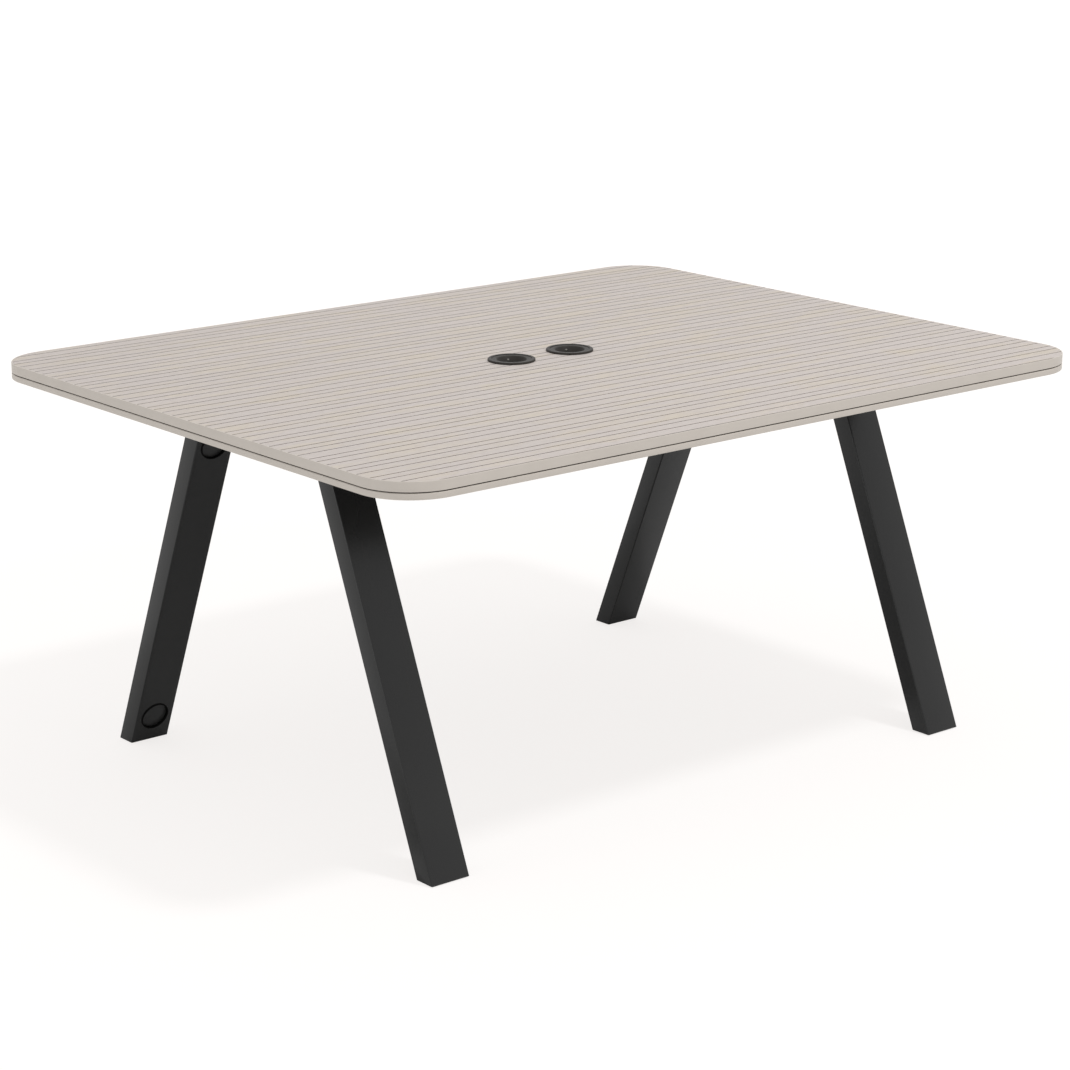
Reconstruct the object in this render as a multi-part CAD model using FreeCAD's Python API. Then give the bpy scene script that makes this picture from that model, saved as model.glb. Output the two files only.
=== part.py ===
import FreeCAD, Part
import math
import os

# Double desk: a thick rounded top with two power ports, on a bolted steel underframe with splayed legs.
# Millimetres. Origin on the floor under the centre of the top, X along the long edge, Y across it, Z up.
# Front is -Y and left is -X.

# Desktop
desk_length = 1600.0
desk_depth = 1250.0
desk_height = 740.0
corner_radius = 100.0
upper_board_thickness = 18.0
lower_board_thickness = 12.0
edge_band_thickness = 2.0
edge_arris = 1.2
shadow_groove_height = 2.0
shadow_groove_depth = 4.0

# Legs
leg_end_inset = 200.0
foot_spacing = 936.0
splay_angle = 22.4
leg_tube_width = 80.0
leg_tube_depth = 40.0
leg_tube_wall = 2.0
leg_tube_corner = 2.5
least_inner_corner = 0.5
head_plate_length = 150.0
head_plate_width = 90.0
head_plate_thickness = 6.0
head_plate_corner = 10.0
head_bolt_offset = 55.0

# End beams and rails
beam_width = 60.0
beam_height = 30.0
beam_wall = 2.0
beam_corner = 3.0
beam_length = 960.0
end_plug_depth = 12.0
end_plug_flange = 2.0
end_plug_corner = 1.0
rail_spacing = 660.0
rail_width = 50.0
rail_plate_length = 96.0
rail_plate_thickness = 4.0
rail_plate_margin = 1.0
rail_plate_corner = 5.0
rail_bolt_offset = 37.0

# Feet
foot_flange_thickness = 2.0
foot_plug_height = 20.0
glide_showing = 1.5
glide_pad_radius = 15.0
glide_pad_height = 4.2
glide_pad_arris = 1.0
glide_pocket_gap = 1.0
glide_stop_gap = 0.3
stem_radius = 4.0
stem_length = 26.0
stem_foot_radius = 6.0
stem_foot_height = 1.4
stem_foot_lift = 1.5
stem_nut_flats = 13.0
stem_nut_height = 6.5
stem_nut_cover = 2.0

# Cable outlets on the rear left leg, placed along its centre line from the floor and from the head plate
lower_outlet_rise = 65.5
upper_outlet_drop = 44.4
outlet_hole_radius = 28.0
outlet_lip_radius = 28.6
outlet_lip_height = 2.2
outlet_sleeve_wall = 1.0
outlet_sleeve_depth = 9.0
outlet_snap_height = 0.6
outlet_snap_length = 1.5
outlet_shelf_width = 2.0
outlet_shelf_thickness = 1.5
cap_recess = 2.8
cap_thickness = 2.4
cap_skirt_wall = 1.5
cap_skirt_depth = 4.0
cap_arris = 0.5

# Power ports
port_spacing = 140.0
port_hole_radius = 40.0
port_flange_radius = 44.2
port_flange_height = 4.0
port_flange_arris = 1.6
port_barrel_wall = 3.5
port_barrel_depth = 58.0
port_seat_depth = 1.5
port_seat_width = 1.5
socket_rim_height = 3.2
socket_dish_middle_height = 1.04
socket_dish_edge_height = 0.4
socket_well_radius = 20.0
socket_well_depth = 17.5
socket_floor_thickness = 3.0
socket_body_depth = 34.0
pin_spacing = 19.0
pin_hole_radius = 2.75
pin_contact_radius = 4.2
pin_contact_wall = 1.0
pin_contact_length = 12.0
earth_pin_radius = 2.4
earth_pin_offset = 10.0
earth_pin_tip_height = 1.4
earth_pin_foot_radius = 4.5
earth_pin_foot_thickness = 1.5
ring_nut_radius = 47.0
ring_nut_height = 9.0
ring_nut_notches = 12
ring_nut_notch_radius = 3.5
rear_cover_thickness = 3.0
cable_entry_radius = 4.5
cable_entry_wall = 2.5
cable_entry_height = 10.0
cable_entry_offset = 18.0

# Cable tray
tray_length = 720.0
tray_width = 150.0
tray_depth = 88.0
tray_sheet = 1.5
tray_flange = 24.0
tray_bend = 2.0
tray_slot_count = 8
tray_slot_length = 50.0
tray_slot_width = 10.0

# Fasteners
leg_bolt_radius = 4.0
leg_bolt_flats = 13.0
leg_bolt_head = 5.5
leg_bolt_flange_radius = 8.5
leg_bolt_flange = 1.4
leg_bolt_length = 20.0
rail_bolt_radius = 3.0
rail_bolt_flats = 10.0
rail_bolt_head = 4.0
rail_bolt_flange_radius = 6.5
rail_bolt_flange = 1.0
rail_bolt_length = 16.0
weld_nut_height = 6.5
top_screw_radius = 2.5
top_screw_length = 24.0
top_screw_head_radius = 5.0
top_screw_crown_radius = 3.5
top_screw_head = 3.0
top_screw_access_radius = 7.0
top_screw_beam_offsets = (60.0, 430.0)
top_screw_rail_offsets = (0.0, 300.0)
tray_screw_radius = 2.0
tray_screw_length = 11.0
tray_screw_head_radius = 4.5
tray_screw_crown_radius = 3.2
tray_screw_head = 2.5
tray_screw_spacing = 300.0
screw_socket_flats = 3.0
screw_socket_depth = 1.6

# Clearances
hole_clearance = 0.5
thread_clearance = 0.1
plug_clearance = 0.15
barrel_clearance = 0.5
insert_clearance = 0.2
swivel_clearance = 0.3
stem_clearance = 0.25
cap_seat_clearance = 0.3

# Levels and places that follow from the sizes above
underside = desk_height - upper_board_thickness - lower_board_thickness
board_joint = desk_height - upper_board_thickness
beam_level = underside - beam_height
leg_top = beam_level - head_plate_thickness
leg_bottom = glide_showing + foot_flange_thickness
leg_x = desk_length / 2 - leg_end_inset
foot_y = foot_spacing / 2
splay = math.radians(splay_angle)
head_y = foot_y - leg_top * math.tan(splay)
rail_y = rail_spacing / 2
port_x = port_spacing / 2
barrel_radius = port_hole_radius - barrel_clearance
barrel_bore = barrel_radius - port_barrel_wall
seat_radius = barrel_bore + port_seat_width
beam_side = leg_x - beam_width / 2
rail_end = beam_side - rail_plate_thickness
pocket_depth = glide_pad_height + glide_stop_gap - glide_showing
glide_y = foot_y - (glide_showing + pocket_depth / 2) * math.tan(splay)
leg_blank_length = 3 * desk_height
outlet_stations = {"lower": lower_outlet_rise, "upper": leg_top / math.cos(splay) - upper_outlet_drop}
outlet_sleeve_radius = outlet_hole_radius - plug_clearance
outlet_bore = outlet_sleeve_radius - outlet_sleeve_wall
tray_screw_y = (tray_width + tray_flange) / 2 - tray_sheet / 2
well_floor = desk_height + socket_dish_edge_height - socket_well_depth
contact_top = well_floor - socket_floor_thickness
socket_bottom = desk_height - socket_body_depth

V = FreeCAD.Vector
UP = V(0, 0, 1)
ALONG_X = V(1, 0, 0)
ALONG_Y = V(0, 1, 0)
SAME_PLACE = 1e-6
SIDES = {"left": -1, "right": 1}
ENDS = {"front": -1, "rear": 1}
FEET = {f"{end}_{side}": (sx, sy) for end, sy in ENDS.items() for side, sx in SIDES.items()}


def placed(shape, placement):
    moved = shape.copy()
    moved.Placement = placement.multiply(moved.Placement)
    return moved


def turned(shape, axis, degrees, place=V(0, 0, 0)):
    return placed(shape, FreeCAD.Placement(place, FreeCAD.Rotation(axis, degrees)))


def moved_to(shape, x, y, z=0.0):
    return turned(shape, UP, 0, V(x, y, z))


def runs_along(edge, axis):
    return edge.tangentAt(edge.FirstParameter).cross(axis).Length < SAME_PLACE


def slab(width, depth, radius, low, high):
    """Plate centred on the Z axis with four rounded upright corners."""
    block = Part.makeBox(width, depth, high - low, V(-width / 2, -depth / 2, low))
    return block.makeFillet(radius, [edge for edge in block.Edges if runs_along(edge, UP)])


def softened(shape, radius, level):
    """Round every edge that lies flat at one level."""
    flat = [e for e in shape.Edges if max(abs(v.Z - level) for v in e.Vertexes) < SAME_PLACE]
    return shape.makeFillet(radius, flat)


def revolved(outline):
    """Solid of revolution about Z from an outline of (radius, height) points."""
    points = [V(r, 0, z) for r, z in outline]
    return Part.Face(Part.makePolygon(points + points[:1])).revolve(V(0, 0, 0), UP, 360)


def rounded_rim(shape, fillet, radius, level):
    """Round the circular edge of one radius at one level."""
    circles = [e for e in shape.Edges if hasattr(e.Curve, "Radius")]
    rims = [e for e in circles if abs(e.Curve.Radius - radius) < SAME_PLACE
            and abs(e.Curve.Center.z - level) < SAME_PLACE]
    return shape.makeFillet(fillet, rims)


def tube(width, depth, wall, corner, length):
    """Rectangular tube along Z, centred on the origin."""
    outer = slab(width, depth, corner, -length / 2, length / 2)
    inner_corner = max(corner - wall, least_inner_corner)
    inner = slab(width - 2 * wall, depth - 2 * wall, inner_corner, -length / 2, length / 2)
    return outer.cut(inner)


def level_band(low, high):
    """Everything between two levels over the whole floor area of the desk."""
    corner = V(-desk_length / 2, -desk_depth / 2, low)
    return Part.makeBox(desk_length, desk_depth, high - low, corner)


def drill(radius, x, y, low, high):
    return Part.makeCylinder(radius, high - low, V(x, y, low), UP)


def round_ended_slot(length, width, low, high):
    """Slot along X, centred on the Z axis."""
    straight = length - width
    middle = Part.makeBox(straight, width, high - low, V(-straight / 2, -width / 2, low))
    ends = [drill(width / 2, sx * straight / 2, 0, low, high) for sx in (-1, 1)]
    return middle.fuse(ends).removeSplitter()


def hex_prism(flats, low, high):
    radius = flats / math.sqrt(3)
    angles = [i * math.pi / 3 for i in range(6)]
    corners = [V(radius * math.cos(a), radius * math.sin(a), low) for a in angles]
    return Part.Face(Part.makePolygon(corners + corners[:1])).extrude(V(0, 0, high - low))


def hex_bolt(radius, flats, head, flange_radius, flange, length):
    """Flanged bolt pointing up, with its bearing face at the origin."""
    washer = drill(flange_radius, 0, 0, -flange, 0)
    shank = drill(radius, 0, 0, 0, length)
    return hex_prism(flats, -head, -flange).fuse([washer, shank]).removeSplitter()


def hex_nut(flats, bore, height):
    """Nut standing on the origin."""
    return hex_prism(flats, 0, height).cut(drill(bore, 0, 0, 0, height))


def pan_screw(radius, length, head_radius, crown_radius, head):
    """Screw pointing up, with a tapered head under the origin and a hexagon socket in the head."""
    body = revolved([
        (0, -head), (crown_radius, -head), (head_radius, 0), (radius, 0), (radius, length), (0, length)])
    return body.cut(hex_prism(screw_socket_flats, -head, screw_socket_depth - head))


def top_screw_places():
    """Screws that hold the top to the end beams and the rails."""
    beams = [(sx * leg_x, sy * y) for sx, sy in FEET.values() for y in top_screw_beam_offsets]
    rails = {(sx * x, sy * rail_y) for sx, sy in FEET.values() for x in top_screw_rail_offsets}
    return beams + sorted(rails)


def tray_screw_places():
    stations = (-tray_screw_spacing, 0, tray_screw_spacing)
    return [(x, sy * tray_screw_y) for x in stations for sy in ENDS.values()]


def head_bolt_places():
    return [(sx * leg_x, sy * head_y + offset) for sx, sy in FEET.values()
            for offset in (-head_bolt_offset, head_bolt_offset)]


def rail_bolt_places():
    return [(sx, sy * rail_y + offset) for sx, sy in FEET.values()
            for offset in (-rail_bolt_offset, rail_bolt_offset)]


def port_holes(low, high):
    return [drill(port_hole_radius, sx * port_x, 0, low, high) for sx in SIDES.values()]


def pilot_holes(places, radius, tip):
    return [drill(radius + thread_clearance, x, y, underside, tip) for x, y in places]


def desktop():
    inner_length = desk_length - 2 * edge_band_thickness
    inner_depth = desk_depth - 2 * edge_band_thickness
    inner_radius = corner_radius - edge_band_thickness
    groove_floor = board_joint - shadow_groove_height / 2
    groove_roof = board_joint + shadow_groove_height / 2
    groove_inset = 2 * (shadow_groove_depth - edge_band_thickness)
    screw_tip = underside - beam_wall + top_screw_length
    tray_tip = underside - tray_sheet + tray_screw_length
    screw_pilots = pilot_holes(top_screw_places(), top_screw_radius, screw_tip + hole_clearance)
    tray_pilots = pilot_holes(tray_screw_places(), tray_screw_radius, tray_tip + hole_clearance)

    upper = slab(inner_length, inner_depth, inner_radius, groove_roof, desk_height)
    lower = slab(inner_length, inner_depth, inner_radius, underside, groove_floor)
    tongue_size = (inner_length - groove_inset, inner_depth - groove_inset, inner_radius - groove_inset / 2)
    upper_outline = slab(desk_length, desk_depth, corner_radius, groove_roof, desk_height)
    lower_outline = slab(desk_length, desk_depth, corner_radius, underside, groove_floor)
    upper_band = softened(upper_outline, edge_arris, desk_height).cut(upper)
    lower_band = softened(lower_outline, edge_arris, underside).cut(lower)
    upper = upper.fuse(slab(*tongue_size, board_joint, groove_roof)).removeSplitter()
    lower = lower.fuse(slab(*tongue_size, groove_floor, board_joint)).removeSplitter()
    return {
        "upper_board": upper.cut(port_holes(board_joint, desk_height) + screw_pilots),
        "lower_board": lower.cut(port_holes(underside, board_joint) + screw_pilots + tray_pilots),
        "upper_edge_band": upper_band,
        "lower_edge_band": lower_band,
    }


def port_housing():
    """Flange and barrel in one moulding, with a seat for the socket inside its rim."""
    bottom = desk_height - port_barrel_depth
    top = desk_height + port_flange_height
    seat = desk_height - port_seat_depth
    body = revolved([
        (barrel_bore, bottom), (barrel_radius, bottom), (barrel_radius, desk_height),
        (port_flange_radius, desk_height), (port_flange_radius, top), (seat_radius, top),
        (seat_radius, seat), (barrel_bore, seat)])
    return rounded_rim(body, port_flange_arris, port_flange_radius, top)


def port_socket():
    """Face of the socket: a dished ring round the well."""
    seat = desk_height - port_seat_depth
    rim = seat_radius - insert_clearance
    body = barrel_bore - insert_clearance
    rim_top = desk_height + socket_rim_height
    dish_edge = desk_height + socket_dish_edge_height
    middle = (rim + socket_well_radius) / 2
    dish_middle = V(middle, 0, desk_height + socket_dish_middle_height)
    dish = Part.Arc(V(rim, 0, rim_top), dish_middle, V(socket_well_radius, 0, dish_edge)).toShape()
    section = [
        (socket_well_radius, dish_edge), (socket_well_radius, well_floor), (body, well_floor),
        (body, seat), (rim, seat), (rim, rim_top)]
    outline = Part.Wire([dish] + Part.makePolygon([V(r, 0, z) for r, z in section]).Edges)
    return Part.Face(outline).revolve(V(0, 0, 0), UP, 360)


def contact_base():
    """Base that closes the well, with two pin holes and their chambers, and a hole for the earth pin."""
    chamber_radius = pin_contact_radius + insert_clearance
    cuts = [drill(earth_pin_radius + insert_clearance, 0, earth_pin_offset, socket_bottom, well_floor)]
    for x in (-pin_spacing / 2, pin_spacing / 2):
        cuts.append(drill(pin_hole_radius, x, 0, contact_top, well_floor))
        cuts.append(drill(chamber_radius, x, 0, socket_bottom, contact_top))
    return drill(barrel_bore - insert_clearance, 0, 0, socket_bottom, well_floor).cut(cuts)


def earth_pin():
    """Earth pin standing in the well behind the pin holes, with a domed tip and a foot under the base."""
    tip = desk_height + earth_pin_tip_height
    foot = drill(earth_pin_foot_radius, 0, 0, socket_bottom - earth_pin_foot_thickness, socket_bottom)
    shank = drill(earth_pin_radius, 0, 0, socket_bottom, tip - earth_pin_radius)
    dome = Part.makeSphere(earth_pin_radius, V(0, 0, tip - earth_pin_radius))
    pin = foot.fuse([shank, dome]).removeSplitter()
    return moved_to(pin, 0, earth_pin_offset)


def pin_contacts():
    """Two sleeves under the pin holes that grip a plug's pins."""
    low = contact_top - pin_contact_length
    bore = pin_contact_radius - pin_contact_wall
    sleeve = revolved([
        (bore, low), (pin_contact_radius, low), (pin_contact_radius, contact_top), (bore, contact_top)])
    return Part.makeCompound([moved_to(sleeve, x, 0) for x in (-pin_spacing / 2, pin_spacing / 2)])


def ring_nut():
    """Large nut that pulls the port's flange down, with grip notches round its rim."""
    bore = barrel_radius + insert_clearance
    low = underside - ring_nut_height
    ring = revolved([(bore, low), (ring_nut_radius, low), (ring_nut_radius, underside), (bore, underside)])
    notch = drill(ring_nut_notch_radius, ring_nut_radius, 0, low, underside)
    return ring.cut([turned(notch, UP, i * 360 / ring_nut_notches) for i in range(ring_nut_notches)])


def rear_cover():
    """Disc that closes the barrel, with a boss for the cable."""
    low = desk_height - port_barrel_depth
    disc = Part.makeCylinder(barrel_bore - plug_clearance, rear_cover_thickness, V(0, 0, low), UP)
    boss_end = low - cable_entry_height
    boss = drill(cable_entry_radius + cable_entry_wall, 0, cable_entry_offset, boss_end, low)
    entry = drill(cable_entry_radius, 0, cable_entry_offset, boss_end, low + rear_cover_thickness)
    return disc.fuse(boss).removeSplitter().cut(entry)


def ports():
    """Both power ports, each of seven pieces."""
    makers = {"port_housing": port_housing, "port_socket": port_socket, "port_contact_base": contact_base,
              "port_earth_pin": earth_pin, "port_pin_contacts": pin_contacts, "port_ring_nut": ring_nut,
              "port_rear_cover": rear_cover}
    return {f"{name}_{side}": moved_to(make(), sx * port_x, 0)
            for name, make in makers.items() for side, sx in SIDES.items()}


def leg_placement(sx, sy):
    """A leg's own frame: Z along the tube, its origin at the foot's centre on the floor."""
    lean = FreeCAD.Rotation(ALONG_X, sy * splay_angle)
    return FreeCAD.Placement(V(sx * leg_x, sy * foot_y, 0), lean)


def outlet_placement(station):
    """An outlet's own frame: Z out of the inner wide face of the rear left leg."""
    out_of_face = FreeCAD.Rotation(ALONG_X, 90)
    on_face = FreeCAD.Placement(V(0, -leg_tube_depth / 2, station), out_of_face)
    return leg_placement(SIDES["left"], ENDS["rear"]).multiply(on_face)


def outlet_collar():
    """Thin collar in the leg's hole: a proud lip, a snap ridge behind the wall, a shelf for the cap."""
    shelf = -cap_recess - cap_thickness - cap_seat_clearance
    shelf_back = shelf - outlet_shelf_thickness
    shelf_edge = outlet_bore - outlet_shelf_width
    snap = -leg_tube_wall - plug_clearance
    return revolved([
        (outlet_bore, outlet_lip_height), (outlet_lip_radius, outlet_lip_height), (outlet_lip_radius, 0),
        (outlet_sleeve_radius, 0), (outlet_sleeve_radius, snap),
        (outlet_hole_radius + outlet_snap_height, snap),
        (outlet_sleeve_radius, snap - outlet_snap_length), (outlet_sleeve_radius, -outlet_sleeve_depth),
        (outlet_bore, -outlet_sleeve_depth), (outlet_bore, shelf_back), (shelf_edge, shelf_back),
        (shelf_edge, shelf), (outlet_bore, shelf)])


def outlet_cap():
    """Sunken cap with a short skirt that guides it through the collar's shelf."""
    face = -cap_recess
    back = face - cap_thickness
    radius = outlet_bore - swivel_clearance
    skirt = outlet_bore - outlet_shelf_width - swivel_clearance
    skirt_bore = skirt - cap_skirt_wall
    skirt_end = back - cap_skirt_depth
    cap = revolved([
        (0, face), (radius, face), (radius, back), (skirt, back), (skirt, skirt_end), (skirt_bore, skirt_end),
        (skirt_bore, back), (0, back)])
    return rounded_rim(cap, cap_arris, radius, face)


def outlets():
    pieces = {}
    for name, station in outlet_stations.items():
        pieces[f"cable_collar_{name}"] = placed(outlet_collar(), outlet_placement(station))
        pieces[f"cable_cap_{name}"] = placed(outlet_cap(), outlet_placement(station))
    return pieces


def leg_tubes():
    """Four tubes, each cut level at both ends from a longer blank."""
    blank = tube(leg_tube_width, leg_tube_depth, leg_tube_wall, leg_tube_corner, leg_blank_length)
    hole = drill(outlet_hole_radius, 0, 0, -leg_tube_depth / 2, 0)
    pieces = {}
    for foot, (sx, sy) in FEET.items():
        leg = placed(blank, leg_placement(sx, sy)).common(level_band(leg_bottom, leg_top))
        if foot == "rear_left":
            leg = leg.cut([placed(hole, outlet_placement(station)) for station in outlet_stations.values()])
        pieces[f"leg_{foot}"] = leg
    return pieces


def foot_inserts():
    """Plug in the end of each leg, with a pocket for the glide, a way for its stem and a nut pocket above."""
    reach = leg_blank_length / 2
    gap = leg_tube_wall + plug_clearance
    plug_blank = slab(leg_tube_width - 2 * gap, leg_tube_depth - 2 * gap, least_inner_corner, -reach, reach)
    flange_blank = slab(leg_tube_width, leg_tube_depth, leg_tube_corner, -reach, reach)
    top = leg_bottom + foot_plug_height
    pocket_top = glide_showing + pocket_depth
    nut_level = top - stem_nut_cover - stem_nut_height
    pieces = {}
    for foot, (sx, sy) in FEET.items():
        flange = placed(flange_blank, leg_placement(sx, sy)).common(level_band(glide_showing, leg_bottom))
        plug = placed(plug_blank, leg_placement(sx, sy)).common(level_band(leg_bottom, top))
        centre = (sx * leg_x, sy * glide_y)
        pocket = drill(glide_pad_radius + glide_pocket_gap, *centre, glide_showing, pocket_top)
        bore = drill(stem_radius + stem_clearance, *centre, glide_showing, top)
        nut_room = moved_to(hex_prism(stem_nut_flats + 2 * plug_clearance, nut_level, top), *centre)
        pieces[f"foot_insert_{foot}"] = flange.fuse(plug).removeSplitter().cut([pocket, bore, nut_room])
    return pieces


def glide_pad():
    """Round pad with a snap-in seat for the stem's foot, so the stem turns while the pad stands still."""
    seat_low = stem_foot_lift - swivel_clearance
    seat_high = stem_foot_lift + stem_foot_height + swivel_clearance
    seat = stem_foot_radius + swivel_clearance
    neck = stem_radius + swivel_clearance
    pad = revolved([
        (0, 0), (glide_pad_radius, 0), (glide_pad_radius, glide_pad_height), (neck, glide_pad_height),
        (neck, seat_high), (seat, seat_high), (seat, seat_low), (0, seat_low)])
    return rounded_rim(pad, glide_pad_arris, glide_pad_radius, 0)


def glide_stem():
    """Threaded stem with a flared foot."""
    low = stem_foot_lift
    neck = low + stem_foot_height
    return revolved([
        (0, low), (stem_foot_radius, low), (stem_foot_radius, neck), (stem_radius, neck),
        (stem_radius, low + stem_length), (0, low + stem_length)])


def glides():
    pieces = {}
    nuts = []
    nut_level = leg_bottom + foot_plug_height - stem_nut_cover - stem_nut_height
    nut = hex_nut(stem_nut_flats, stem_radius + stem_clearance, stem_nut_height)
    for foot, (sx, sy) in FEET.items():
        pieces[f"glide_pad_{foot}"] = moved_to(glide_pad(), sx * leg_x, sy * glide_y)
        pieces[f"glide_stem_{foot}"] = moved_to(glide_stem(), sx * leg_x, sy * glide_y)
        nuts.append(moved_to(nut, sx * leg_x, sy * glide_y, nut_level))
    pieces["glide_nuts"] = Part.makeCompound(nuts)
    return pieces


def head_plates():
    """Plate on the head of each leg, bolted up to its end beam."""
    plate = slab(head_plate_width, head_plate_length, head_plate_corner, leg_top, beam_level)
    holes = [drill(leg_bolt_radius + hole_clearance, 0, offset, leg_top, beam_level)
             for offset in (-head_bolt_offset, head_bolt_offset)]
    plate = plate.cut(holes)
    return {f"leg_head_plate_{foot}": moved_to(plate, sx * leg_x, sy * head_y)
            for foot, (sx, sy) in FEET.items()}


def end_beams():
    """Tube under each end of the top, drilled for the legs, the rails and the screws into the top."""
    blank = turned(tube(beam_width, beam_height, beam_wall, beam_corner, beam_length), ALONG_X, 90)
    middle = underside - beam_height / 2
    roof = underside - beam_wall
    pieces = {}
    for side, sx in SIDES.items():
        cuts = [drill(leg_bolt_radius + hole_clearance, x, y, beam_level, beam_level + beam_wall)
                for x, y in head_bolt_places() if x == sx * leg_x]
        for x, y in top_screw_places():
            if x == sx * leg_x:
                cuts.append(drill(top_screw_access_radius, x, y, beam_level, beam_level + beam_wall))
                cuts.append(drill(top_screw_radius + hole_clearance, x, y, roof, underside))
        for end, y in rail_bolt_places():
            if end == sx:
                hole = drill(rail_bolt_radius + hole_clearance, 0, 0, 0, beam_wall)
                cuts.append(turned(hole, ALONG_Y, 90 * sx, V(sx * beam_side, y, middle)))
        pieces[f"end_beam_{side}"] = moved_to(blank, sx * leg_x, 0, middle).cut(cuts)
    return pieces


def beam_end_plugs():
    """Plastic plugs that close both ends of each beam."""
    gap = beam_wall + plug_clearance
    plug = slab(beam_width - 2 * gap, beam_height - 2 * gap, end_plug_corner, -end_plug_depth, 0)
    piece = plug.fuse(slab(beam_width, beam_height, beam_corner, 0, end_plug_flange)).removeSplitter()
    middle = underside - beam_height / 2
    return Part.makeCompound([
        turned(piece, ALONG_X, -90 * sy, V(sx * leg_x, sy * beam_length / 2, middle))
        for sx, sy in FEET.values()])


def rails():
    """Two tubes between the end beams, each with an end plate."""
    blank = turned(tube(beam_height, rail_width, beam_wall, beam_corner, 2 * rail_end), ALONG_Y, 90)
    middle = underside - beam_height / 2
    roof = underside - beam_wall
    pieces = {}
    for end, sy in ENDS.items():
        cuts = []
        for x, y in top_screw_places():
            if y == sy * rail_y:
                cuts.append(drill(top_screw_access_radius, x, y, beam_level, beam_level + beam_wall))
                cuts.append(drill(top_screw_radius + hole_clearance, x, y, roof, underside))
        pieces[f"rail_{end}"] = moved_to(blank, 0, sy * rail_y, middle).cut(cuts)
    return pieces


def rail_plates():
    """Plate on each end of a rail, bolted to the inner side of an end beam."""
    plate_height = beam_height - 2 * rail_plate_margin
    plate = slab(plate_height, rail_plate_length, rail_plate_corner, 0, rail_plate_thickness)
    holes = [drill(rail_bolt_radius + hole_clearance, 0, offset, 0, rail_plate_thickness)
             for offset in (-rail_bolt_offset, rail_bolt_offset)]
    plate = plate.cut(holes)
    middle = underside - beam_height / 2
    return {f"rail_plate_{foot}": turned(plate, ALONG_Y, 90 * sx, V(sx * rail_end, sy * rail_y, middle))
            for foot, (sx, sy) in FEET.items()}


def cable_tray():
    """Folded sheet channel under the ports, open at both ends, with a slotted floor and screwed lips."""
    outer = tray_width / 2
    inner = outer - tray_sheet
    lip = outer + tray_flange
    floor = underside - tray_depth
    half = [(outer, floor), (outer, underside - tray_sheet), (lip, underside - tray_sheet), (lip, underside),
            (inner, underside), (inner, floor + tray_sheet)]
    points = [V(-tray_length / 2, y, z) for y, z in half]
    points += [V(-tray_length / 2, -y, z) for y, z in reversed(half)]
    sheet = Part.Face(Part.makePolygon(points + points[:1])).extrude(V(tray_length, 0, 0))
    inner_bends = {(inner, floor + tray_sheet), (outer, underside - tray_sheet)}
    outer_bends = {(outer, floor), (inner, underside)}

    def is_at(vertex, y, z):
        return abs(abs(vertex.Y) - y) < SAME_PLACE and abs(vertex.Z - z) < SAME_PLACE

    def folds(shape, places):
        along = [e for e in shape.Edges if runs_along(e, ALONG_X)]
        return [e for e in along if any(is_at(e.Vertexes[0], y, z) for y, z in places)]

    sheet = sheet.makeFillet(tray_bend, folds(sheet, inner_bends))
    sheet = sheet.makeFillet(tray_bend + tray_sheet, folds(sheet, outer_bends))
    slot_pitch = tray_length / tray_slot_count
    first_slot = -(tray_slot_count - 1) / 2 * slot_pitch
    slot = round_ended_slot(tray_slot_length, tray_slot_width, floor, floor + tray_sheet)
    cuts = [moved_to(slot, first_slot + i * slot_pitch, sy * tray_width / 4)
            for i in range(tray_slot_count) for sy in ENDS.values()]
    cuts += [drill(tray_screw_radius + hole_clearance, x, y, underside - tray_sheet, underside)
             for x, y in tray_screw_places()]
    return sheet.cut(cuts)


def fasteners():
    """Bolts, weld nuts and screws, one group for each kind."""
    middle = underside - beam_height / 2
    nut_x = beam_side + beam_wall
    leg_bolt = hex_bolt(leg_bolt_radius, leg_bolt_flats, leg_bolt_head,
                        leg_bolt_flange_radius, leg_bolt_flange, leg_bolt_length)
    leg_nut = hex_nut(leg_bolt_flats, leg_bolt_radius + thread_clearance, weld_nut_height)
    rail_bolt = hex_bolt(rail_bolt_radius, rail_bolt_flats, rail_bolt_head,
                         rail_bolt_flange_radius, rail_bolt_flange, rail_bolt_length)
    rail_nut = hex_nut(rail_bolt_flats, rail_bolt_radius + thread_clearance, weld_nut_height)
    top_screw = pan_screw(top_screw_radius, top_screw_length, top_screw_head_radius,
                          top_screw_crown_radius, top_screw_head)
    tray_screw = pan_screw(tray_screw_radius, tray_screw_length, tray_screw_head_radius,
                           tray_screw_crown_radius, tray_screw_head)
    groups = {
        "leg_bolts": [moved_to(leg_bolt, x, y, leg_top) for x, y in head_bolt_places()],
        "leg_weld_nuts": [moved_to(leg_nut, x, y, beam_level + beam_wall) for x, y in head_bolt_places()],
        "rail_bolts": [turned(rail_bolt, ALONG_Y, 90 * sx, V(sx * rail_end, y, middle))
                       for sx, y in rail_bolt_places()],
        "rail_weld_nuts": [turned(rail_nut, ALONG_Y, 90 * sx, V(sx * nut_x, y, middle))
                           for sx, y in rail_bolt_places()],
        "top_screws": [moved_to(top_screw, x, y, underside - beam_wall) for x, y in top_screw_places()],
        "tray_screws": [moved_to(tray_screw, x, y, underside - tray_sheet) for x, y in tray_screw_places()],
    }
    return {name: Part.makeCompound(shapes) for name, shapes in groups.items()}


def all_pieces():
    groups = (desktop, ports, leg_tubes, head_plates, end_beams, rails, rail_plates, foot_inserts, glides,
              outlets, fasteners)
    pieces = {}
    for group in groups:
        pieces.update(group())
    pieces["beam_end_plugs"] = beam_end_plugs()
    pieces["cable_tray"] = cable_tray()
    return pieces


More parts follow.
